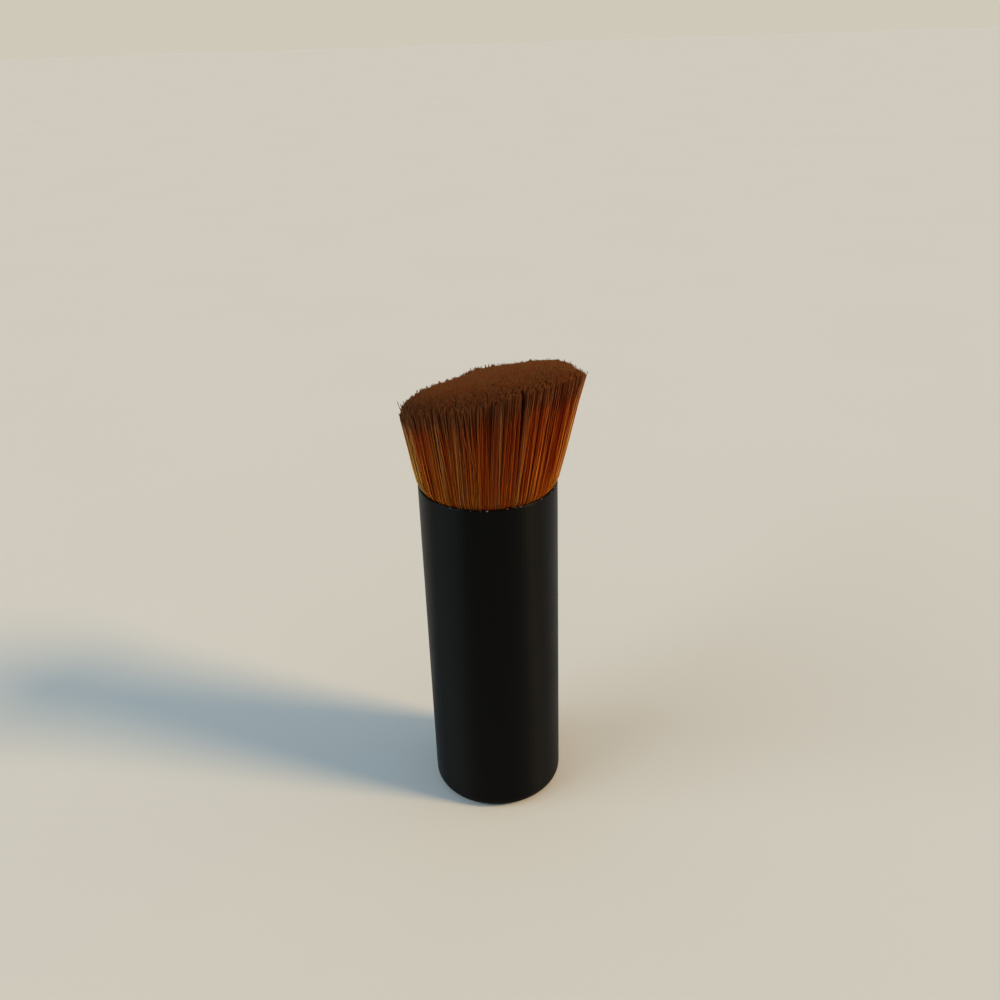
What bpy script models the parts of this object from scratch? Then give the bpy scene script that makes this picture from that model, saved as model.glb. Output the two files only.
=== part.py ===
"""Foundation brush: a flared, slanted tuft set in the mouth of a weighted round can handle.

Units are metres, +Z runs up the handle, and the origin is the centre of the base that the
brush stands on. The high side of the tuft faces a heading measured from +X, towards +Y.
"""
import math

import bmesh
import bpy
from mathutils import Vector
from mathutils.geometry import delaunay_2d_cdt

# Handle shell: a deep-drawn can, closed at the base
handle_diameter = 0.0230
handle_length = 0.0605
shell_wall = 0.00045
shell_floor = 0.0007
base_fillet = 0.00195

# Clearance between pieces that slide into one another
fit_gap = 0.0003

# Moulded core that fills the can, with a pocket for the weight under its web
core_wall = 0.0013
core_web = 0.0014
core_rib_width = 0.0010
core_rib_setback = 0.0012
core_chamfer = 0.0004
core_rib_count = 6

# Steel weight in the foot of the handle
weight_height = 0.0090
weight_chamfer = 0.0006
weight_bore_diameter = 0.0032

# Pressed ferrule cup that holds the root of the tuft, below the lip of the handle
ferrule_height = 0.0152
ferrule_wall = 0.00035
ferrule_floor = 0.0005
ferrule_fillet = 0.0011
ferrule_setback = 0.0024

# Resin cast in the bottom of the cup
resin_depth = 0.0050

# Tuft: heights are above the lip, and the rise is from the middle of the slanted top to its edge
root_setback = 0.0003
tuft_height = 0.0180
tuft_rise = 0.0038
tuft_crown = 0.0004
tuft_edge_round = 0.0025
tuft_low_edge_round = 0.0003
tuft_bulge = 0.00065
tuft_bulge_length = 0.0009
tuft_heading_deg = -41.5
tuft_flare_share = 0.200
tuft_lean_share = 0.045
edge_sharpness = 8

# Strands of the tuft, in rings round one in the middle: a foot, a belly, a shoulder and a point
strand_gap = 0.00005
belly_height = 0.0018
strand_point_length = 0.0013
strand_rings = 11
strand_sides = 3

# Edges and facets
lip_round_share = 0.45
weld_share = 0.00001
sharp_angle_deg = 30
shell_facets = 96
inner_facets = 48
fillet_facets = 6
lip_facets = 2

# Sizes that follow from the ones above
handle_radius = handle_diameter / 2
shell_bore_radius = handle_radius - shell_wall
inner_fillet = base_fillet - shell_wall
core_radius = shell_bore_radius - fit_gap
core_bore_radius = core_radius - core_wall
core_bottom = shell_floor + inner_fillet
weight_radius = core_bore_radius - fit_gap
weight_bottom = shell_floor + fit_gap
weight_top = weight_bottom + weight_height
web_bottom = weight_top + fit_gap
web_top = web_bottom + core_web
ferrule_top = handle_length - ferrule_setback
ferrule_bottom = ferrule_top - ferrule_height
ferrule_floor_top = ferrule_bottom + ferrule_floor
ferrule_bore_radius = core_radius - ferrule_wall
ferrule_inner_fillet = ferrule_fillet - ferrule_wall
core_top = ferrule_bottom - fit_gap
resin_bottom = ferrule_floor_top + fit_gap
resin_top = resin_bottom + resin_depth
root_radius = ferrule_bore_radius - fit_gap
root_mouth_radius = shell_bore_radius - fit_gap
root_bottom = resin_top + fit_gap
root_top = handle_length - root_setback
strand_pitch = root_mouth_radius / (strand_rings + 0.5)
strand_width = strand_pitch - strand_gap
outer_ring_radius = strand_pitch * strand_rings


def clear_scene():
    """Remove every object that the file opened with."""
    for obj in list(bpy.data.objects):
        bpy.data.objects.remove(obj, do_unlink=True)


def make_material(name, colour, roughness, metallic):
    """A Principled material with one colour, roughness and metallic value."""
    material = bpy.data.materials.new(name)
    material.use_nodes = True
    shader = material.node_tree.nodes["Principled BSDF"]
    shader.inputs["Base Color"].default_value = (*colour, 1.0)
    shader.inputs["Roughness"].default_value = roughness
    shader.inputs["Metallic"].default_value = metallic
    material.diffuse_color = (*colour, 1.0)
    return material


def make_object(name, bm, material):
    """Turn a bmesh into an object of the scene, smooth except at its sharp edges."""
    mesh = bpy.data.meshes.new(name)
    bm.to_mesh(mesh)
    bm.free()
    mesh.shade_smooth()
    mesh.set_sharp_from_angle(angle=math.radians(sharp_angle_deg))
    mesh.materials.append(material)
    obj = bpy.data.objects.new(name, mesh)
    bpy.context.scene.collection.objects.link(obj)
    return obj


def arc(centre_r, centre_z, radius, start_deg, end_deg, facets=fillet_facets):
    """Points of an arc in the (radius, height) plane, both ends included."""
    points = []
    for step in range(facets + 1):
        angle = math.radians(start_deg + (end_deg - start_deg) * step / facets)
        points.append((centre_r + radius * math.cos(angle), centre_z + radius * math.sin(angle)))
    return points


def turned_body(profile, facets, closed=False):
    """Spin a (radius, height) profile round Z. An open profile starts and ends on the axis."""
    bm = bmesh.new()
    verts = [bm.verts.new((radius, 0, height)) for radius, height in profile]
    chain = verts + verts[:1] if closed else verts
    edges = [bm.edges.new(pair) for pair in zip(chain, chain[1:])]
    bmesh.ops.spin(bm, geom=verts + edges, cent=(0, 0, 0), axis=(0, 0, 1), dvec=(0, 0, 0),
                   angle=math.tau, steps=facets, use_merge=True, use_duplicate=False)
    bmesh.ops.remove_doubles(bm, verts=bm.verts, dist=handle_radius * weld_share)
    bmesh.ops.recalc_face_normals(bm, faces=bm.faces)
    return bm


def build_handle_shell(material):
    """The drawn can: rounded foot, thin wall and a lip that is rounded on both edges."""
    lip = shell_wall * lip_round_share
    profile = [(0, 0)]
    profile += arc(handle_radius - base_fillet, base_fillet, base_fillet, -90, 0)
    profile += arc(handle_radius - lip, handle_length - lip, lip, 0, 90, lip_facets)
    profile += arc(shell_bore_radius + lip, handle_length - lip, lip, 90, 180, lip_facets)
    profile += arc(shell_bore_radius - inner_fillet, shell_floor + inner_fillet, inner_fillet, 0, -90)
    profile += [(0, shell_floor)]
    return make_object("handle_shell", turned_body(profile, shell_facets), material)


def build_base_weight(material):
    """A turned steel slug with chamfered edges and a small bore."""
    bore = weight_bore_diameter / 2
    profile = [
        (bore, weight_bottom),
        (weight_radius - weight_chamfer, weight_bottom),
        (weight_radius, weight_bottom + weight_chamfer),
        (weight_radius, weight_top - weight_chamfer),
        (weight_radius - weight_chamfer, weight_top),
        (bore, weight_top),
    ]
    return make_object("base_weight", turned_body(profile, inner_facets, closed=True), material)


def rib_star():
    """The ribs above the core's web as one prism: arms that meet in the middle."""
    half = core_rib_width / 2
    turn = math.tau / core_rib_count
    reach = core_bore_radius + core_wall / 2
    crotch_radius = half / math.sin(turn / 2)
    outline = []
    for arm in range(core_rib_count):
        heading = Vector((math.cos(arm * turn), math.sin(arm * turn), 0))
        side = Vector((-heading.y, heading.x, 0))
        crotch = Vector((math.cos((arm + 0.5) * turn), math.sin((arm + 0.5) * turn), 0))
        outline += [heading * reach - side * half, heading * reach + side * half]
        outline += [crotch * crotch_radius]
    foot = Vector((0, 0, web_top - core_web / 2))
    bm = bmesh.new()
    face = bm.faces.new([bm.verts.new(point + foot) for point in outline])
    risen = bmesh.ops.extrude_face_region(bm, geom=[face])
    top = [item for item in risen["geom"] if isinstance(item, bmesh.types.BMVert)]
    bmesh.ops.translate(bm, verts=top, vec=(0, 0, core_top - core_rib_setback - foot.z))
    bmesh.ops.recalc_face_normals(bm, faces=bm.faces)
    return bm


def build_core_sleeve(material):
    """The moulded core: a tube with a web across it, a pocket below and ribs above."""
    profile = [
        (0, web_bottom),
        (core_bore_radius, web_bottom),
        (core_bore_radius, core_bottom),
        (core_radius - core_chamfer, core_bottom),
        (core_radius, core_bottom + core_chamfer),
        (core_radius, core_top),
        (core_bore_radius + core_chamfer, core_top),
        (core_bore_radius, core_top - core_chamfer),
        (core_bore_radius, web_top),
        (0, web_top),
    ]
    core = make_object("core_sleeve", turned_body(profile, inner_facets), material)
    ribs = make_object("core_ribs", rib_star(), material)
    ribs.hide_render = True
    ribs.display_type = "WIRE"
    join = core.modifiers.new("join_ribs", "BOOLEAN")
    join.operation = "UNION"
    join.solver = "EXACT"
    join.object = ribs
    return core


def build_ferrule_cup(material):
    """The pressed cup in the mouth of the handle."""
    profile = [(0, ferrule_bottom)]
    profile += arc(core_radius - ferrule_fillet, ferrule_bottom + ferrule_fillet, ferrule_fillet, -90, 0)
    profile += [(core_radius, ferrule_top), (ferrule_bore_radius, ferrule_top)]
    profile += arc(ferrule_bore_radius - ferrule_inner_fillet, ferrule_floor_top + ferrule_inner_fillet,
                   ferrule_inner_fillet, 0, -90)
    profile += [(0, ferrule_floor_top)]
    return make_object("ferrule_cup", turned_body(profile, inner_facets), material)


def build_resin_plug(material):
    """Set resin: its foot has the round of the cup that it was cast in."""
    profile = [(0, resin_bottom)]
    profile += arc(root_radius - ferrule_inner_fillet, resin_bottom + ferrule_inner_fillet,
                   ferrule_inner_fillet, -90, 0)
    profile += [(root_radius, resin_top), (0, resin_top)]
    return make_object("resin_plug", turned_body(profile, inner_facets), material)


def tuft_radius(height):
    """Outer radius of the tuft at a height above the lip: a quick bulge, then a steady flare."""
    bulge = tuft_bulge * (1 - math.exp(-height / tuft_bulge_length))
    return shell_bore_radius + bulge + tuft_flare_share * height


def tip_height(reach, angle):
    """Height of the slanted, crowned and edge-rounded top; reach is 0 on the axis and 1 outside."""
    uphill = reach * math.cos(angle - math.radians(tuft_heading_deg))
    downhill = max(-uphill, 0)
    edge = tuft_edge_round + tuft_low_edge_round * downhill ** 2
    crown = tuft_crown * reach ** 2
    return tuft_height + tuft_rise * uphill - crown - edge * reach ** edge_sharpness


def strand_layout():
    """Reach and angle of each strand, in even rings that start at unlike angles."""
    golden_angle = math.pi * (3 - math.sqrt(5))
    layout = [(0, 0)]
    for ring in range(1, strand_rings + 1):
        count = 6 * ring
        for index in range(count):
            layout.append((ring / strand_rings, ring * golden_angle + math.tau * index / count))
    return layout


def root_disc(bm, layout):
    """The top face of the bundle, cut into triangles round the foot of each strand."""
    spread = outer_ring_radius / root_mouth_radius
    foot = strand_width / 2 / root_mouth_radius
    points = []
    outlines = []
    for reach, angle in layout:
        centre = Vector((math.cos(angle), math.sin(angle))) * reach * spread
        outlines.append(list(range(len(points), len(points) + strand_sides)))
        for corner in range(strand_sides):
            heading = angle + math.tau * (corner + 0.5) / strand_sides
            points.append(centre + Vector((math.cos(heading), math.sin(heading))) * foot)
    outlines.append(list(range(len(points), len(points) + inner_facets)))
    for step in range(inner_facets):
        heading = math.tau * step / inner_facets
        points.append(Vector((math.cos(heading), math.sin(heading))))
    found = delaunay_2d_cdt(points, [], outlines, 1, weld_share)
    flat_points, triangles, owners = found[0], found[2], found[5]
    verts = []
    for x, y in flat_points:
        verts.append(bm.verts.new((x * root_mouth_radius, y * root_mouth_radius, root_top)))
    feet = {}
    for triangle, owner in zip(triangles, owners):
        face = bm.faces.new([verts[index] for index in triangle])
        for outline in owner:
            feet[outline] = face
    return feet


def root_bundle(bm):
    """The bonded bundle below the strands: a flare down into the cup, then a round plug."""
    steps = [(root_radius / root_mouth_radius, ferrule_top - root_top), (1, root_bottom - ferrule_top)]
    edges = [edge for edge in bm.edges if edge.is_boundary]
    for growth, rise in steps:
        made = bmesh.ops.extrude_edge_only(bm, edges=edges)["geom"]
        verts = [item for item in made if isinstance(item, bmesh.types.BMVert)]
        edges = [item for item in made if isinstance(item, bmesh.types.BMEdge) and item.is_boundary]
        bmesh.ops.scale(bm, verts=verts, vec=(growth, growth, 1))
        bmesh.ops.translate(bm, verts=verts, vec=(0, 0, rise))
    bmesh.ops.edgeloop_fill(bm, edges=edges)


def strand_centre(reach, angle, height):
    """Centre of a strand at a height above the lip. All strands spread in the same proportion."""
    spread = Vector((math.cos(angle), math.sin(angle), 0)) * reach
    heading = math.radians(tuft_heading_deg)
    lean = Vector((math.cos(heading), math.sin(heading), 0)) * tuft_lean_share * height
    rise = Vector((0, 0, handle_length + height))
    return spread * (tuft_radius(height) - strand_width / 2) + lean + rise


def grow_strand(bm, foot, reach, angle):
    """Extrude a strand from its foot to its belly and shoulder, and draw its end to a point."""
    tip = tip_height(reach, angle)
    centre = foot.calc_center_median()
    width = 1
    face = foot
    for height in (belly_height, tip - strand_point_length):
        face = bmesh.ops.extrude_discrete_faces(bm, faces=[face])["faces"][0]
        ring_centre = strand_centre(reach, angle, height)
        ring_width = (tuft_radius(height) - strand_width / 2) / outer_ring_radius
        for vert in face.verts:
            vert.co = ring_centre + (vert.co - centre) * ring_width / width
        centre = ring_centre
        width = ring_width
    point = bmesh.ops.poke(bm, faces=[face])["verts"][0]
    point.co = strand_centre(reach, angle, tip)


def build_tuft(material):
    """The bonded root bundle, with every strand grown out of its top face."""
    layout = strand_layout()
    bm = bmesh.new()
    feet = root_disc(bm, layout)
    root_bundle(bm)
    for index, (reach, angle) in enumerate(layout):
        grow_strand(bm, feet[index], reach, angle)
    bmesh.ops.recalc_face_normals(bm, faces=bm.faces)
    return make_object("tuft", bm, material)


def build_brush():
    """Every piece of the brush, from the shell inwards and up to the tuft."""
    clear_scene()
    black_coat = make_material("black_coat", (0.012, 0.012, 0.013), 0.38, 0.0)
    black_plastic = make_material("core_plastic", (0.030, 0.030, 0.032), 0.55, 0.0)
    steel = make_material("weight_steel", (0.50, 0.50, 0.49), 0.40, 1.0)
    aluminium = make_material("ferrule_aluminium", (0.78, 0.78, 0.79), 0.32, 1.0)
    resin = make_material("set_resin", (0.55, 0.42, 0.20), 0.25, 0.0)
    hair = make_material("tuft_hair", (0.125, 0.032, 0.008), 0.62, 0.0)
    build_handle_shell(black_coat)
    build_core_sleeve(black_plastic)
    build_base_weight(steel)
    build_ferrule_cup(aluminium)
    build_resin_plug(resin)
    build_tuft(hair)


build_brush()
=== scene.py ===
"""Looks of the foundation brush: the hair of the tuft, the finish of each piece, floor and camera.

Units are metres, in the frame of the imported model: +Z runs up the handle from the flat base.
Headings are angles from +X towards +Y. The reach of a hair is 0 on the axis and 1 outside.
"""
import math

import bpy
import numpy as np
from mathutils import Matrix, Vector


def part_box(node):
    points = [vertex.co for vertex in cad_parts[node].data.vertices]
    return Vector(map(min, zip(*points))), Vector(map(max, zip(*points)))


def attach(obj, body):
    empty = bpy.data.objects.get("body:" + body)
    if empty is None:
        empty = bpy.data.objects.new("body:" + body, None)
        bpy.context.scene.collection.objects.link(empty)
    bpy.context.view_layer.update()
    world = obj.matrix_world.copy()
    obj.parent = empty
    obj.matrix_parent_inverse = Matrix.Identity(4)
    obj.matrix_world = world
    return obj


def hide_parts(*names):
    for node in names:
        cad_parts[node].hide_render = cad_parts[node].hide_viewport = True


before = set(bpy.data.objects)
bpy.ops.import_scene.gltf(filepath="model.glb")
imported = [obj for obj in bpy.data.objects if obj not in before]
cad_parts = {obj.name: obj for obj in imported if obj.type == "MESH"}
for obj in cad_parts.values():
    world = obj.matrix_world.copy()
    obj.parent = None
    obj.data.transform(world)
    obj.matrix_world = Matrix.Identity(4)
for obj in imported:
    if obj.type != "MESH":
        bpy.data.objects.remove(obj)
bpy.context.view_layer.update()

millimetre = 0.001

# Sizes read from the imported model; the ferrule cup is as wide as the core that carries it
shell_low, shell_high = [Vector(corner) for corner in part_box("handle_shell")]
root_low = Vector(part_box("tuft")[0])
core_low, core_high = [Vector(corner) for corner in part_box("core_sleeve")]
lip_z = shell_high.z
handle_radius = (shell_high.x - shell_low.x) / 2
cup_radius = (core_high.x - core_low.x) / 2

# The photograph's camera, which looks along +Y and down
camera_distance = 151.4 * millimetre
camera_height = 132.4 * millimetre
camera_pitch_deg = 26.57
camera_yaw_deg = 0.73
camera_roll_deg = -1.83
camera_lens = 36.68
camera_sensor = 36.0
camera_clip_start = 1 * millimetre

# Foot of the tuft: the bonded root in the cup, and the neck where the hair opens to the lip
shell_wall = 0.45 * millimetre
lip_clearance = 0.12 * millimetre
root_inset = 0.6 * millimetre
neck_depth = 2.4 * millimetre
root_depth = 4.0 * millimetre
root_edge = 0.4 * millimetre
root_sides = 64
root_sharp_angle = math.radians(40)

# Outline of the tuft, with heights above the lip: a quick bulge, a steady flare and a slanted top
tuft_height = 18.34 * millimetre
tuft_rise = 4.40 * millimetre
tuft_crown = 0.51 * millimetre
tuft_heading = math.radians(-47.8)
tuft_bulge = 0.62 * millimetre
tuft_bulge_length = 0.6 * millimetre
tuft_flare_share = 0.206
tuft_lean_share = 0.045

# Rim of the top: how far it is rounded down at even headings from -180 degrees, and its uneven cut
edge_round_mm = (2.41, 2.90, 2.15, 2.25, 1.25, 1.90, 2.69, 1.70, 0.85, 0.60, 1.58, 1.95)
edge_sharpness = 5
cut_ripple = 0.20 * millimetre
cut_ripple_count = 6
cut_ripple_heading = math.radians(97)
long_clump_height = 0.42 * millimetre
long_clump_heading = math.radians(94)
long_clump_width = math.radians(10)
uneven_power = 4

# Hair: three-sided, with a fixed radius that narrows a little towards a short point
hair_count = 28000
hair_sides = 3
hair_radius = 0.064 * millimetre
hair_tip_radius = 0.058 * millimetre
hair_taper_length = 1.6 * millimetre
hair_point_length = 0.16 * millimetre
hair_length_scatter = 0.02 * millimetre
hair_sway = 0.05 * millimetre
hair_wave_share = 0.7
hair_wave_half_turns = 1.4
hair_root_scatter = 0.008
hair_place_jitter = 0.02
hair_seed = 7

# Locks that the hair gathers into, small ones within large ones, and each size's share of the tone
lock_sizes = {
    "large": {"count": 240, "pull": 0.17, "sway": 0.18 * millimetre,
              "length_scatter": 0.015 * millimetre},
    "middle": {"count": 800, "pull": 0.30, "sway": 0.10 * millimetre,
               "length_scatter": 0.015 * millimetre},
    "small": {"count": 7000, "pull": 0.30, "sway": 0.03 * millimetre,
              "length_scatter": 0.012 * millimetre},
}
lock_tone_shares = {"large": 0.44, "middle": 0.36, "small": 0.12}
lock_place_jitter = 0.3
lock_pull_least = 0.5
inner_gather_share = 0.25

# How late along its length the hair gathers and sways
large_gather_power = 1.2
small_gather_power = 1.6
sway_power = 1.7

# Raggedness: the cut is rough near the rim, most of all round one heading, with proud locks
rim_share = 0.2
rim_raggedness = 3.5
rough_cut_share = 0.42
rough_cut_heading = math.radians(130)
rough_cut_least = 0.2
proud_lock_share = 0.12
proud_lock_length = 0.82 * millimetre
proud_lock_inner_share = 0.06
proud_lock_least = 0.4
proud_hair_least = 0.25

# Single hairs that cross their neighbours at the outside, or stray outwards
crossing_share = 0.10
crossing_reach_share = 0.92
crossing_sway = 1.0 * millimetre
crossing_outward_share = 0.2
crossing_height_share = 0.35
stray_share = 0.008
stray_sway = 0.4 * millimetre
stray_rise_share = 0.4

# Tone of each hair, from 0 for dark and red to 1 for pale and golden; crossing hairs are made paler
# as a painted highlight, the flanks paler and more golden as a painted glow, and the side round -40
# degrees darker as painted shade
own_tone_share = 0.08
crossing_highlight_tone = 0.14
painted_shade_tone = 0.17
painted_shade_heading = math.radians(-40)
painted_glow_tone = 0.12
painted_glow_power = 4
painted_glow_skew = 0.5

# The dye reaches further down where the hair is cut longer
dye_reach_per_rise = 0.12 / millimetre
dye_reach_least = 0.65

# Pieces of hair: rings at fixed heights above the lip, then at shares of the way to the point
hair_piece_limit = 190000
outer_reach_share = 0.80
inner_hair_rings = ([-root_depth, 0.4 * millimetre], [0.55, 0.88, 1.0])
outer_hair_rings = ([-root_depth, 0.0, 0.4 * millimetre, 1.3 * millimetre], [0.30, 0.62, 0.88, 1.0])

# The strand map: a cell for each tone across, and the length from the tip along
strand_map_length = 25.0 * millimetre
strand_map_cells = 100
strand_map_half_width_share = 0.4
strand_map_margin = 0.001

# Colours of the hair by length from the tip, as a share of the strand map, and tints by tone
hair_hues = [
    (0.024, (0.139, 0.0355, 0.0100)),
    (0.055, (0.125, 0.024, 0.004)),
    (0.11, (0.165, 0.018, 0.002)),
    (0.22, (0.225, 0.023, 0.0015)),
    (0.42, (0.255, 0.030, 0.0015)),
    (0.70, (0.255, 0.038, 0.0015)),
]
red_amber_tint = (0.98, 0.80, 1.40)
golden_amber_tint = (0.97, 1.50, 2.80)
golden_tones = (0.35, 0.85)
cool_tip_tint = (0.90, 1.00, 1.05)
warm_tip_tint = (1.10, 0.97, 0.94)
cool_tip_tones = (0.15, 0.85)
# Pale hairs: painted sheen, standing for light reflected along some hairs.
painted_sheen_hair = (0.19, 0.062, 0.030)
painted_sheen_tones = (0.60, 0.82)
painted_sheen_shares = (0.0, 0.5)

# Where along the hair its looks change, as a share of the strand map, and by how much
dip_end = (0.02, 0.08)
dye_end_by_chance = (-0.012, 0.012)
dye_end_by_tone = (-0.02, 0.01)
contrast_start = (0.005, 0.06)
contrast_shares = (0.2, 1.0)
tone_contrast = (-0.19, 0.13)
fleck_stretch = (70.0, 10.0, 1.0)
fleck_contrast = (0.94, 1.06)
hair_roughness = (0.52, 0.38)
hair_specular_level = 0.035
hair_specular_tint = (1.0, 0.75, 0.45, 1)
scatter_start = (0.02, 0.12)
scatter_weights = (0.05, 0.8)
scatter_radius = (1.0, 0.7, 0.3)
scatter_scale = 0.38 * millimetre

# Black coat of the handle: smudges, fine grain and long drawn marks, with noise scales per metre
coat_blacks = ((0.0002, 0.0003, 0.0005), (0.0008, 0.0008, 0.0009))
coat_roughness = (0.34, 0.40)
coat_specular_level = 0.082
coat_anisotropy = 0.9
quarter_turn = 0.25
smudge_scale = 90.0
coat_grain_scale = 3200.0
drawn_stretch = (2600.0, 2600.0, 60.0)
drawn_roughness = 0.05
drawn_relief = 0.6
coat_relief_strength = 0.05
coat_relief_depth = 0.02 * millimetre

# Dust on the coat, in some cells of a pattern, and wear of the coat at the lip, whose light flecks
# are also painted glints
coat_dust = (0.12, 0.12, 0.11)
dust_cell_scale = 300.0
dust_edge = (0.02, 0.035)
dust_threshold = 0.72
coat_worn_glint = (0.28, 0.21, 0.19)
wear_glint_scale = 2000.0
wear_glint_edge = (0.61, 0.68)
lip_wear_glint_depth = 0.15 * millimetre

# Grained finishes: tones from dark to light, size of the grain and its stretch along each axis,
# roughness from low to high, metallic share, and depth of the grain
inner_finishes = {
    "core_sleeve": {
        "name": "moulded_plastic", "tones": ((0.020, 0.020, 0.022), (0.034, 0.034, 0.036)),
        "scale": 900.0, "stretch": (1, 1, 1), "roughness": (0.45, 0.60), "metallic": 0.0,
        "depth": 0.03 * millimetre,
    },
    "base_weight": {
        "name": "turned_steel", "tones": ((0.42, 0.41, 0.40), (0.56, 0.55, 0.54)),
        "scale": 700.0, "stretch": (1, 1, 6), "roughness": (0.28, 0.42), "metallic": 1.0,
        "depth": 0.02 * millimetre,
    },
    "ferrule_cup": {
        "name": "pressed_aluminium", "tones": ((0.70, 0.70, 0.71), (0.82, 0.82, 0.83)),
        "scale": 900.0, "stretch": (1, 1, 0.1), "roughness": (0.24, 0.38), "metallic": 1.0,
        "depth": 0.01 * millimetre,
    },
    "resin_plug": {
        "name": "set_resin", "tones": ((0.40, 0.27, 0.10), (0.58, 0.44, 0.20)),
        "scale": 500.0, "stretch": (1, 1, 1), "roughness": (0.12, 0.30), "metallic": 0.0,
        "depth": 0.02 * millimetre,
    },
}
root_finish = {
    "name": "bonded_root", "tones": ((0.10, 0.030, 0.008), (0.22, 0.075, 0.018)),
    "scale": 3000.0, "stretch": (1, 1, 0.05), "roughness": (0.35, 0.50), "metallic": 0.0,
    "depth": 0.05 * millimetre,
}
grain_relief_strength = 0.3

# Ranges that most of a noise and most of the tones lie in, and the ranges of a mask
noise_span = (0.3, 0.7)
tone_span = (0.2, 0.8)
rising = (0.0, 1.0)
falling = (1.0, 0.0)

# Lamps: heading, elevation and width in degrees, strength and colour
warm_light = (1.0, 0.75, 0.44)
cool_light = (0.62, 0.80, 1.0)
lamps = {
    "key": (-18, 33, 14, 2.65, warm_light),
    "warm_side": (2, 10, 50, 0.7, warm_light),
    "cool_side": (200, 20, 50, 1.9, cool_light),
}

# Surround and floor
world_light = (0.305, 0.43, 0.585, 1)
backdrop_colour = (0.62, 0.585, 0.485, 1)
floor_tones = ((0.66, 0.60, 0.495), (0.68, 0.62, 0.515))
floor_cloud_scale = 14.0
floor_roughness = 0.8
floor_half_width = 3.0


def smooth_step(value):
    """0 below 0, 1 above 1 and a smooth turn between."""
    value = np.clip(value, 0, 1)
    return value * value * (3 - 2 * value)


def tuft_radius(height):
    """Radius of the tuft at heights above the lip, and down the neck below it."""
    mouth = handle_radius - shell_wall - lip_clearance
    neck = cup_radius - root_inset
    above = np.maximum(height, 0)
    bulge = tuft_bulge * (1 - np.exp(-above / tuft_bulge_length))
    opened = smooth_step((height + neck_depth) / neck_depth)
    return neck + (mouth - neck) * opened + bulge + tuft_flare_share * above


def edge_round(angle):
    """How far the rim is rounded down at a heading: a smooth curve through the table."""
    table = np.array(edge_round_mm) * millimetre
    count = len(table)
    turn = (angle + math.pi) / math.tau * count
    index = np.floor(turn).astype(int)
    along = turn - index
    before, here, after, beyond = [table[(index + step) % count] for step in (-1, 0, 1, 2)]
    slope = after - before
    bend = 2 * before - 5 * here + 4 * after - beyond
    twist = 3 * (here - after) + beyond - before
    return here + 0.5 * (slope * along + bend * along ** 2 + twist * along ** 3)


def tip_height(reach, angle):
    """Height above the lip of the slanted top: crowned, rounded at its rim and cut unevenly."""
    uphill = reach * np.cos(angle - tuft_heading)
    edge = edge_round(angle)
    crown = tuft_crown * reach ** 2
    ripple = cut_ripple * np.cos(cut_ripple_count * (angle - cut_ripple_heading))
    clump = long_clump_height * np.exp(-((angle - long_clump_heading) / long_clump_width) ** 2)
    uneven = (ripple + clump) * reach ** uneven_power
    return tuft_height + tuft_rise * uphill + uneven - crown - edge * reach ** edge_sharpness


def disc_places(count, rng, jitter):
    """Places spread evenly over the unit disc, from the middle outwards."""
    index = np.arange(count)
    golden_angle = math.pi * (3 - math.sqrt(5))
    reach = np.sqrt((index + rng.random(count)) / count)
    angle = index * golden_angle + rng.normal(0, jitter, count)
    return np.stack([reach * np.cos(angle), reach * np.sin(angle)], axis=1)


def nearest_centre(places, centres):
    """Index of the nearest centre to each place, worked out in batches that fit in memory."""
    nearest = np.empty(len(places), dtype=int)
    batch = 2000
    for start in range(0, len(places), batch):
        part = places[start:start + batch]
        gap = ((part[:, None, :] - centres[None, :, :]) ** 2).sum(axis=2)
        nearest[start:start + batch] = gap.argmin(axis=1)
    return nearest


def part_random(least, count, rng):
    """Random values from a least one up to 1."""
    return least + (1 - least) * rng.random(count)


def gather_into_locks(places, rng, count, pull, sway, length_scatter):
    """What each hair gets from its lock: a pull, sway, length, tone and how proud it stands."""
    centres = disc_places(count, rng, lock_place_jitter)
    lock = nearest_centre(places, centres)
    strength = pull * part_random(lock_pull_least, count, rng)
    return {
        "offset": (centres[lock] - places) * strength[lock][:, None],
        "sway": rng.normal(0, sway, (count, 2))[lock],
        "length": rng.normal(0, length_scatter, count)[lock],
        "tone": rng.random(count)[lock],
        "proud": ((rng.random(count) < proud_lock_share)
                  * part_random(proud_lock_least, count, rng))[lock],
    }


def cut_roughness(reach, angle):
    """How rough the cut is: 0 in the middle, and most at the rim round the rough heading."""
    rough_side = ((1 + np.cos(angle - rough_cut_heading)) / 2) ** 2
    rough = smooth_step((reach - 1 + rough_cut_share) / (rough_cut_share / 2))
    return rough * (rough_cut_least + (1 - rough_cut_least) * rough_side)


def own_lengths(rough, astray, locks, rng):
    """What the length of each hair adds to the height of the cut."""
    ragged = hair_length_scatter * (1 + rim_raggedness * rough)
    length = rng.normal(0, 1, hair_count) * ragged + stray_rise_share * astray
    standing = proud_lock_inner_share + (1 - proud_lock_inner_share) * rough
    spike = part_random(proud_hair_least, hair_count, rng)
    length += proud_lock_length * locks["small"]["proud"] * standing * spike
    return length + sum(lock["length"] for lock in locks.values())


def hair_tones(angle, rim, crosses, locks, rng):
    """Tone of each hair: its own and its locks', paler on crossing hairs as a painted highlight,
    paler on the flanks as a painted glow, and darker round one side as painted shade.
    """
    tone = own_tone_share * rng.random(hair_count)
    tone += sum(share * locks[size]["tone"] for size, share in lock_tone_shares.items())
    # Crossing hairs made paler: a painted highlight.
    tone += crossing_highlight_tone * crosses
    # Painted shade: hairs darker round one side of the tuft, where the key light falls.
    turned = np.maximum(np.cos(angle - painted_shade_heading), 0) ** 2
    # Painted glow: flanks paler and more golden, more so on the +X side.
    flank = np.cos(angle) ** painted_glow_power * (1 + painted_glow_skew * np.cos(angle))
    return tone + (painted_glow_tone * flank - painted_shade_tone * turned) * rim


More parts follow.
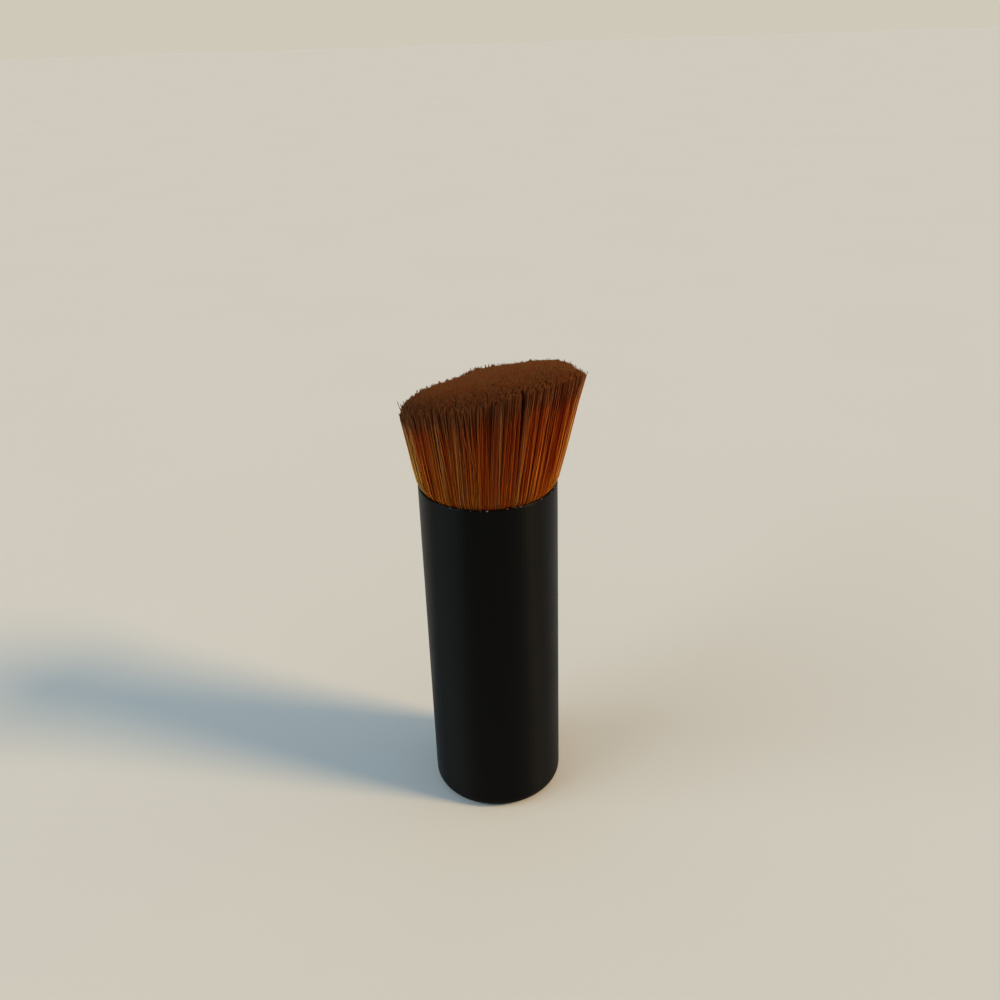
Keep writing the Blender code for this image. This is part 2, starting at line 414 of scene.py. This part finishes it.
def scatter_hairs(rng):
    """Root place, pulls, sway, tip height and colour tone of every hair."""
    places = disc_places(hair_count, rng, hair_place_jitter)
    reach = np.hypot(places[:, 0], places[:, 1])
    angle = np.arctan2(places[:, 1], places[:, 0])
    locks = {name: gather_into_locks(places, rng, **size) for name, size in lock_sizes.items()}
    outward = places / reach[:, None]
    sideways = np.stack([-outward[:, 1], outward[:, 0]], axis=1)
    rim = smooth_step((reach - 1 + rim_share) / rim_share)
    gathered = (inner_gather_share + (1 - inner_gather_share) * rim)[:, None]

    sway = sum(lock["sway"] for lock in locks.values()) * gathered
    sway += rng.normal(0, hair_sway, (hair_count, 2))
    spill = np.maximum((sway * outward).sum(axis=1), 0) * rim
    crosses = (rng.random(hair_count) < crossing_share) & (reach > crossing_reach_share)
    across = rng.normal(0, crossing_sway, hair_count) * crosses
    loose = crossing_outward_share * np.abs(across)
    strays = rng.random(hair_count) < stray_share
    astray = np.abs(rng.normal(0, stray_sway, hair_count)) * strays
    sway += outward * (loose + astray - spill)[:, None]

    length = own_lengths(cut_roughness(reach, angle), astray, locks, rng)
    tone = hair_tones(angle, rim, crosses, locks, rng)
    rise = tuft_rise * reach * np.cos(angle - tuft_heading)
    return {
        "place": places,
        "reach": reach,
        "root_shift": rng.normal(0, hair_root_scatter, (hair_count, 2)),
        "large_offset": (locks["large"]["offset"] + locks["middle"]["offset"]) * gathered,
        "small_offset": locks["small"]["offset"] * gathered,
        "sway": sway,
        "cross": sideways * across[:, None],
        "tip": tip_height(reach, angle) + length,
        "tone": tone,
        "dye_reach": np.maximum(1 + dye_reach_per_rise * rise, dye_reach_least),
    }


def hair_centres(hairs, levels, rng):
    """Centre line of each hair at each level: an array of hairs, levels and 3 coordinates."""
    count = len(hairs["tip"])
    along = np.clip(levels / hairs["tip"][:, None], 0, 1)[:, :, None]
    place = (hairs["place"][:, None, :]
             + hairs["root_shift"][:, None, :] * (1 - along) ** 2
             + hairs["large_offset"][:, None, :] * along ** large_gather_power
             + hairs["small_offset"][:, None, :] * along ** small_gather_power)
    reach = np.linalg.norm(place, axis=2, keepdims=True)
    spread = place / np.maximum(reach, 1) * tuft_radius(levels)[:, :, None]
    heading = np.array([math.cos(tuft_heading), math.sin(tuft_heading)])
    lean = tuft_lean_share * np.maximum(levels, 0)[:, :, None] * heading
    phase = rng.random((count, 1, 1)) * math.tau
    wave = (np.sin(phase + along * math.pi * hair_wave_half_turns) - np.sin(phase)) * along
    side = rng.normal(0, 1, (count, 1, 2)) * hair_sway * hair_wave_share
    flat = (spread + lean + side * wave
            + hairs["sway"][:, None, :] * along ** sway_power
            + hairs["cross"][:, None, :] * (along - crossing_height_share))
    return np.concatenate([flat, (lip_z + levels)[:, :, None]], axis=2)


def hair_levels(tip, low_levels, high_shares):
    """Heights above the lip of each hair's rings, fixed ones and then shares, and of its tip."""
    low = np.array(low_levels)
    start = low[-1]
    high = start + (tip[:, None] - hair_point_length - start) * np.array(high_shares)
    return np.concatenate([np.repeat(low[None, :], len(tip), axis=0), high, tip[:, None]], axis=1)


def hair_faces(rings):
    """Quads down the sides of a hair, and the triangles that close its tip and its foot."""
    step = np.arange(hair_sides)
    after = (step + 1) % hair_sides
    rows = []
    for low in range(0, hair_sides * (rings - 1), hair_sides):
        high = low + hair_sides
        rows.append(np.stack([low + step, low + after, high + after, high + step], axis=1))
    last = (rings - 1) * hair_sides
    tip = np.full(hair_sides, rings * hair_sides)
    points = np.stack([last + step, last + after, tip], axis=1)
    foot = step[None, ::-1]
    return np.concatenate(rows), np.concatenate([points, foot])


def hair_mesh(name, hairs, low_levels, high_shares, rng):
    """Tapered three-sided hairs as one mesh."""
    levels = hair_levels(hairs["tip"], low_levels, high_shares)
    centres = hair_centres(hairs, levels, rng)
    count = len(levels)
    rings = levels.shape[1] - 1
    below_tip = hairs["tip"][:, None] - levels
    thin = smooth_step(below_tip / hair_taper_length)
    radius = hair_tip_radius + (hair_radius - hair_tip_radius) * thin
    turn = rng.random((count, 1)) * math.tau
    corners = turn + np.arange(hair_sides) * math.tau / hair_sides
    ring = np.stack([np.cos(corners), np.sin(corners), np.zeros_like(corners)], axis=2)
    body = centres[:, :rings, None, :] + radius[:, :rings, None, None] * ring[:, None, :, :]
    body = body.reshape(count, rings * hair_sides, 3)
    verts = np.concatenate([body, centres[:, rings:, :]], axis=1)
    verts_each = verts.shape[1]
    quads, tris = hair_faces(rings)
    base = (np.arange(count) * verts_each)[:, None, None]
    loops = np.concatenate([(base + quads[None]).reshape(-1), (base + tris[None]).reshape(-1)])
    quad_total, tri_total = count * len(quads), count * len(tris)
    starts = np.concatenate([np.arange(quad_total) * 4, quad_total * 4 + np.arange(tri_total) * 3])
    mesh = bpy.data.meshes.new(name)
    mesh.vertices.add(count * verts_each)
    mesh.vertices.foreach_set("co", verts.reshape(-1).astype(np.float32))
    mesh.loops.add(len(loops))
    mesh.loops.foreach_set("vertex_index", loops.astype(np.int32))
    mesh.polygons.add(quad_total + tri_total)
    mesh.polygons.foreach_set("loop_start", starts.astype(np.int32))
    mesh.update(calc_edges=True)
    dye_depth = below_tip / hairs["dye_reach"][:, None]
    add_strand_maps(mesh, hairs["tone"], dye_depth, quads, tris, rings)
    mesh.shade_smooth()
    return add_object(name, mesh)


def add_strand_maps(mesh, tone, dye_depth, quads, tris, rings):
    """One map for the material and one for baking: a cell of tone across, depth of dye along."""
    count = len(tone)
    cell = np.clip(np.floor(tone * strand_map_cells), 0, strand_map_cells - 1)
    middle = (cell + 0.5) / strand_map_cells
    half_width = strand_map_half_width_share / strand_map_cells
    along = dye_depth / strand_map_length
    level_of = np.minimum(np.arange(rings * hair_sides + 1) // hair_sides, rings)
    quad_side = np.tile([-half_width, half_width, half_width, -half_width], len(quads))
    tri_side = np.tile([-half_width, half_width, 0], len(tris))
    parts = []
    for faces, side in ((quads, quad_side), (tris, tri_side)):
        flat = level_of[faces.reshape(-1)]
        u = middle[:, None] + side[None, :]
        v = np.clip(along[:, flat], strand_map_margin, 1 - strand_map_margin)
        parts.append(np.stack([u, v], axis=2).reshape(count * len(flat), 2))
    data = np.concatenate(parts).reshape(-1).astype(np.float32)
    for map_name in ("strand", "OFBake"):
        layer = mesh.uv_layers.new(name=map_name)
        layer.uv.foreach_set("vector", data)


def add_object(name, data):
    """A new object in the scene."""
    obj = bpy.data.objects.new(name, data)
    bpy.context.scene.collection.objects.link(obj)
    return obj


def new_material(name):
    """A new node material, its tree and the Principled shader at its output."""
    material = bpy.data.materials.new(name)
    material.use_nodes = True
    tree = material.node_tree
    return material, tree, tree.nodes["Principled BSDF"]


def add_node(tree, kind, inputs=None, **settings):
    """A node with its settings, and its inputs linked to sockets or set to values."""
    node = tree.nodes.new(kind)
    for key, value in settings.items():
        setattr(node, key, value)
    for key, value in (inputs or {}).items():
        if isinstance(value, bpy.types.NodeSocket):
            tree.links.new(value, node.inputs[key])
        else:
            node.inputs[key].default_value = value
    return node


def object_place(tree):
    """Coordinates on the object, in metres."""
    return add_node(tree, "ShaderNodeTexCoord").outputs["Object"]


def ramp(tree, factor, stops):
    """A colour ramp of (position, colour) stops."""
    node = add_node(tree, "ShaderNodeValToRGB", {"Fac": factor})
    elements = node.color_ramp.elements
    while len(elements) < len(stops):
        elements.new(0.5)
    for element, (position, colour) in zip(elements, stops):
        element.position = position
        element.color = (*colour, 1)
    return node.outputs["Color"]


def math_node(tree, operation, first, second):
    """A math node's result."""
    node = add_node(tree, "ShaderNodeMath", {0: first, 1: second}, operation=operation)
    return node.outputs[0]


def multiply_parts(tree, first, second):
    """Two colours or places multiplied part by part."""
    node = add_node(tree, "ShaderNodeVectorMath", {0: first, 1: second}, operation="MULTIPLY")
    return node.outputs["Vector"]


def scale_colour(tree, colour, factor):
    """A colour made lighter or darker by a factor."""
    node = add_node(tree, "ShaderNodeVectorMath", {0: colour, "Scale": factor}, operation="SCALE")
    return node.outputs["Vector"]


def noise(tree, vector, scale, detail):
    """Noise as one value about a half."""
    node = add_node(tree, "ShaderNodeTexNoise",
                    {"Vector": vector, "Scale": scale, "Detail": detail})
    return node.outputs["Fac"]


def map_range(tree, value, source, target):
    """A value carried from one range to another, without leaving the second."""
    node = add_node(tree, "ShaderNodeMapRange", {
        "Value": value, "From Min": source[0], "From Max": source[1],
        "To Min": target[0], "To Max": target[1]})
    return node.outputs["Result"]


def mix_colour(tree, factor, first, second):
    """Two colours mixed by a factor."""
    node = add_node(tree, "ShaderNodeMix", data_type="RGBA")
    for index, value in ((0, factor), (6, first), (7, second)):
        if isinstance(value, bpy.types.NodeSocket):
            tree.links.new(value, node.inputs[index])
        else:
            node.inputs[index].default_value = (*value, 1)
    return node.outputs[2]


def add_bump(tree, shader, height, strength, depth):
    """Fine relief on a shader."""
    bump = add_node(tree, "ShaderNodeBump",
                    {"Height": height, "Strength": strength, "Distance": depth})
    tree.links.new(bump.outputs["Normal"], shader.inputs["Normal"])


def undyed_length(tree, down, cell, tone):
    """Length from the tip as the dye sees it, a little unlike from one tone to the next."""
    white = add_node(tree, "ShaderNodeTexWhiteNoise", {"W": cell}, noise_dimensions="1D")
    by_chance = map_range(tree, white.outputs["Value"], rising, dye_end_by_chance)
    by_tone = map_range(tree, tone, tone_span, dye_end_by_tone)
    return math_node(tree, "ADD", down, math_node(tree, "ADD", by_chance, by_tone))


def hair_hue(tree, down, cell, tone):
    """Brown dipped tips, then amber that runs from red to golden by tone, with some pale hairs that
    are painted sheen.
    """
    hue = ramp(tree, undyed_length(tree, down, cell, tone), hair_hues)
    golden = map_range(tree, tone, golden_tones, rising)
    amber_tint = mix_colour(tree, golden, red_amber_tint, golden_amber_tint)
    warm = map_range(tree, tone, cool_tip_tones, falling)
    tip_tint = mix_colour(tree, warm, cool_tip_tint, warm_tip_tint)
    undipped = map_range(tree, down, dip_end, rising)
    tinted = multiply_parts(tree, hue, mix_colour(tree, undipped, tip_tint, amber_tint))
    # The pale hairs are painted sheen.
    pale = map_range(tree, tone, painted_sheen_tones, painted_sheen_shares)
    return mix_colour(tree, math_node(tree, "MULTIPLY", pale, undipped), tinted, painted_sheen_hair)


def hair_shade(tree, down, tone, fleck):
    """How light the hair is: by tone, less so at the tip, and with fine flecks along it."""
    lively = map_range(tree, down, contrast_start, contrast_shares)
    contrast = map_range(tree, tone, tone_span, tone_contrast)
    shade = math_node(tree, "ADD", math_node(tree, "MULTIPLY", contrast, lively), 1.0)
    return math_node(tree, "MULTIPLY", shade, map_range(tree, fleck, noise_span, fleck_contrast))


def hair_material():
    """Amber synthetic hair with dark brown tips; each hair has a tone, partly its own and partly
    painted light and shade round the tuft.
    """
    material, tree, shader = new_material("tuft_hair")
    strand = add_node(tree, "ShaderNodeUVMap", uv_map="strand").outputs["UV"]
    split = add_node(tree, "ShaderNodeSeparateXYZ", {0: strand})
    down = split.outputs["Y"]
    cell = math_node(tree, "MULTIPLY", split.outputs["X"], strand_map_cells)
    cell = math_node(tree, "FLOOR", cell, 0.0)
    tone = math_node(tree, "DIVIDE", cell, strand_map_cells)
    fleck = noise(tree, multiply_parts(tree, strand, fleck_stretch), scale=1.0, detail=3.0)
    hue = hair_hue(tree, down, cell, tone)
    shade = hair_shade(tree, down, tone, fleck)
    roughness = map_range(tree, fleck, noise_span, hair_roughness)
    scatter = map_range(tree, down, scatter_start, scatter_weights)
    tree.links.new(scale_colour(tree, hue, shade), shader.inputs["Base Color"])
    tree.links.new(roughness, shader.inputs["Roughness"])
    tree.links.new(scatter, shader.inputs["Subsurface Weight"])
    shader.inputs["Subsurface Radius"].default_value = scatter_radius
    shader.inputs["Subsurface Scale"].default_value = scatter_scale
    shader.inputs["Specular IOR Level"].default_value = hair_specular_level
    shader.inputs["Specular Tint"].default_value = hair_specular_tint
    return material


def dust_mask(tree, place):
    """1 on sparse specks of dust, 0 elsewhere."""
    cells = add_node(tree, "ShaderNodeTexVoronoi", {"Vector": place, "Scale": dust_cell_scale})
    speck = map_range(tree, cells.outputs["Distance"], dust_edge, falling)
    chosen = math_node(tree, "GREATER_THAN", cells.outputs["Color"], dust_threshold)
    return math_node(tree, "MULTIPLY", speck, chosen)


def lip_wear_glint_mask(tree, place):
    """1 where the coat is rubbed through at the lip, in light flecks that are also painted glints,
    0 elsewhere.
    """
    height = add_node(tree, "ShaderNodeSeparateXYZ", {0: place}).outputs["Z"]
    lip = map_range(tree, height, (lip_z - lip_wear_glint_depth, lip_z), rising)
    patches = noise(tree, place, wear_glint_scale, detail=2.0)
    return math_node(tree, "MULTIPLY", lip, map_range(tree, patches, wear_glint_edge, rising))


def coat_material():
    """Satin black coat on the drawn can, with smudges, dust and gloss spread along the handle."""
    material, tree, shader = new_material("satin_black_coat")
    place = object_place(tree)
    smudge = noise(tree, place, smudge_scale, detail=4.0)
    grain = noise(tree, place, coat_grain_scale, detail=2.0)
    drawn = noise(tree, multiply_parts(tree, place, drawn_stretch), scale=1.0, detail=2.0)
    dust = dust_mask(tree, place)

    colour = mix_colour(tree, smudge, *coat_blacks)
    # Light flecks at the lip: worn coat, and painted glints of the lip's edge.
    colour = mix_colour(tree, lip_wear_glint_mask(tree, place), colour, coat_worn_glint)
    colour = mix_colour(tree, dust, colour, coat_dust)
    tree.links.new(colour, shader.inputs["Base Color"])

    marks = math_node(tree, "MULTIPLY", drawn, drawn_roughness)
    roughness = map_range(tree, smudge, noise_span, coat_roughness)
    roughness = math_node(tree, "MAXIMUM", math_node(tree, "ADD", roughness, marks), dust)
    tree.links.new(roughness, shader.inputs["Roughness"])

    relief = math_node(tree, "ADD", grain, math_node(tree, "MULTIPLY", drawn, drawn_relief))
    add_bump(tree, shader, relief, coat_relief_strength, coat_relief_depth)
    around = add_node(tree, "ShaderNodeTangent", direction_type="RADIAL", axis="Z")
    tree.links.new(around.outputs["Tangent"], shader.inputs["Tangent"])
    shader.inputs["Anisotropic"].default_value = coat_anisotropy
    shader.inputs["Anisotropic Rotation"].default_value = quarter_turn
    shader.inputs["Specular IOR Level"].default_value = coat_specular_level
    return material


def grained_material(name, tones, scale, stretch, roughness, metallic, depth):
    """A plain finish with fine grain: moulded, turned, pressed or cast."""
    material, tree, shader = new_material(name)
    drawn = multiply_parts(tree, object_place(tree), stretch)
    grain = noise(tree, drawn, scale, detail=4.0)
    tree.links.new(mix_colour(tree, grain, *tones), shader.inputs["Base Color"])
    tree.links.new(map_range(tree, grain, noise_span, roughness), shader.inputs["Roughness"])
    add_bump(tree, shader, grain, grain_relief_strength, depth)
    shader.inputs["Metallic"].default_value = metallic
    return material


def finish_cad_nodes():
    """Give each piece that stays from the model its finish."""
    materials = {"handle_shell": coat_material()}
    for node, finish in inner_finishes.items():
        materials[node] = grained_material(**finish)
    for node, material in materials.items():
        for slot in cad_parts[node].material_slots:
            slot.material = material


def make_root_bundle():
    """The bonded root of the hair, from the resin up into the neck of the tuft."""
    top = lip_z - neck_depth
    bottom = root_low.z
    radius = cup_radius - root_inset
    rings = [(radius - root_edge, bottom), (radius, bottom + root_edge),
             (radius, top - root_edge), (radius - root_edge, top)]
    verts = []
    for ring_radius, height in rings:
        for step in range(root_sides):
            angle = math.tau * step / root_sides
            verts.append((ring_radius * math.cos(angle), ring_radius * math.sin(angle), height))
    faces = []
    for ring in range(len(rings) - 1):
        low, high = ring * root_sides, (ring + 1) * root_sides
        for step in range(root_sides):
            after = (step + 1) % root_sides
            faces.append((low + step, low + after, high + after, high + step))
    faces.append(tuple(reversed(range(root_sides))))
    faces.append(tuple(range(len(verts) - root_sides, len(verts))))
    mesh = bpy.data.meshes.new("tuft_root")
    mesh.from_pydata(verts, [], faces)
    mesh.shade_smooth()
    mesh.set_sharp_from_angle(angle=root_sharp_angle)
    mesh.materials.append(grained_material(**root_finish))
    return add_object("tuft_root", mesh)


def make_tuft():
    """Every hair of the tuft, in layers from the middle outwards, and the bonded root."""
    rng = np.random.default_rng(hair_seed)
    hairs = scatter_hairs(rng)
    material = hair_material()
    inner = hairs["reach"] < outer_reach_share
    plans = [(inner, *inner_hair_rings), (~inner, *outer_hair_rings)]
    pieces = []
    for chosen, low_levels, high_shares in plans:
        indices = np.flatnonzero(chosen)
        rings = len(low_levels) + len(high_shares)
        triangles_each = (rings - 1) * 2 * hair_sides + hair_sides + 1
        parts = math.ceil(len(indices) * triangles_each / hair_piece_limit)
        for part in np.array_split(indices, parts):
            group = {key: values[part] for key, values in hairs.items()}
            name = f"hair_layer_{len(pieces) + 1}"
            piece = hair_mesh(name, group, low_levels, high_shares, rng)
            piece.data.materials.append(material)
            pieces.append(piece)
    pieces.append(make_root_bundle())
    for piece in pieces:
        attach(piece, "root")
        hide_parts("tuft")


def make_camera():
    """The photograph's camera."""
    data = bpy.data.cameras.new("camera")
    data.lens = camera_lens
    data.sensor_width = camera_sensor
    data.clip_start = camera_clip_start
    camera = add_object("camera", data)
    turn = Matrix.Rotation(-math.radians(camera_yaw_deg), 4, "Z")
    tilt = Matrix.Rotation(math.radians(90 - camera_pitch_deg), 4, "X")
    roll = Matrix.Rotation(math.radians(camera_roll_deg), 4, "Z")
    place = Matrix.Translation((0, -camera_distance, camera_height))
    camera.matrix_world = place @ turn @ tilt @ roll
    bpy.context.scene.camera = camera


def make_lamp(name, heading_deg, elevation_deg, width_deg, strength, colour):
    """A far, wide and so soft light, from a heading and an elevation."""
    data = bpy.data.lights.new(name, "SUN")
    data.angle = math.radians(width_deg)
    data.energy = strength
    data.color = colour
    lamp = add_object(name, data)
    heading, elevation = math.radians(heading_deg), math.radians(elevation_deg)
    way = Vector((math.cos(heading) * math.cos(elevation), math.sin(heading) * math.cos(elevation),
                  math.sin(elevation)))
    lamp.location = way
    lamp.rotation_euler = way.to_track_quat("Z", "Y").to_euler()


def make_world():
    """Cool even light from all round, and a plain pale backdrop that the eye and gloss see."""
    world = bpy.data.worlds.new("surround")
    world.use_nodes = True
    tree = world.node_tree
    light = tree.nodes["Background"]
    light.inputs["Color"].default_value = world_light
    backdrop = add_node(tree, "ShaderNodeBackground", {"Color": backdrop_colour})
    path = add_node(tree, "ShaderNodeLightPath").outputs
    mirrored = math_node(tree, "MAXIMUM", path["Is Glossy Ray"], path["Is Transmission Ray"])
    seen = math_node(tree, "MAXIMUM", path["Is Camera Ray"], mirrored)
    mix = add_node(tree, "ShaderNodeMixShader",
                   {0: seen, 1: light.outputs[0], 2: backdrop.outputs[0]})
    tree.links.new(mix.outputs[0], tree.nodes["World Output"].inputs["Surface"])
    bpy.context.scene.world = world


def make_floor():
    """A plain pale floor."""
    half = floor_half_width
    corners = [(-half, -half, 0), (half, -half, 0), (half, half, 0), (-half, half, 0)]
    mesh = bpy.data.meshes.new("floor")
    mesh.from_pydata(corners, [], [(0, 1, 2, 3)])
    floor = add_object("floor", mesh)
    material, tree, shader = new_material("pale_floor")
    cloud = noise(tree, object_place(tree), floor_cloud_scale, detail=3.0)
    tree.links.new(mix_colour(tree, cloud, *floor_tones), shader.inputs["Base Color"])
    shader.inputs["Roughness"].default_value = floor_roughness
    shader.inputs["Specular IOR Level"].default_value = 0.0
    mesh.materials.append(material)


def make_stage():
    """A plain pale floor and surround, a warm key lamp, and low side lamps: one warm, one cool."""
    make_floor()
    make_world()
    for name, settings in lamps.items():
        make_lamp(name, *settings)
    bpy.context.scene.view_settings.view_transform = "Standard"


make_camera()
make_stage()
finish_cad_nodes()
make_tuft()
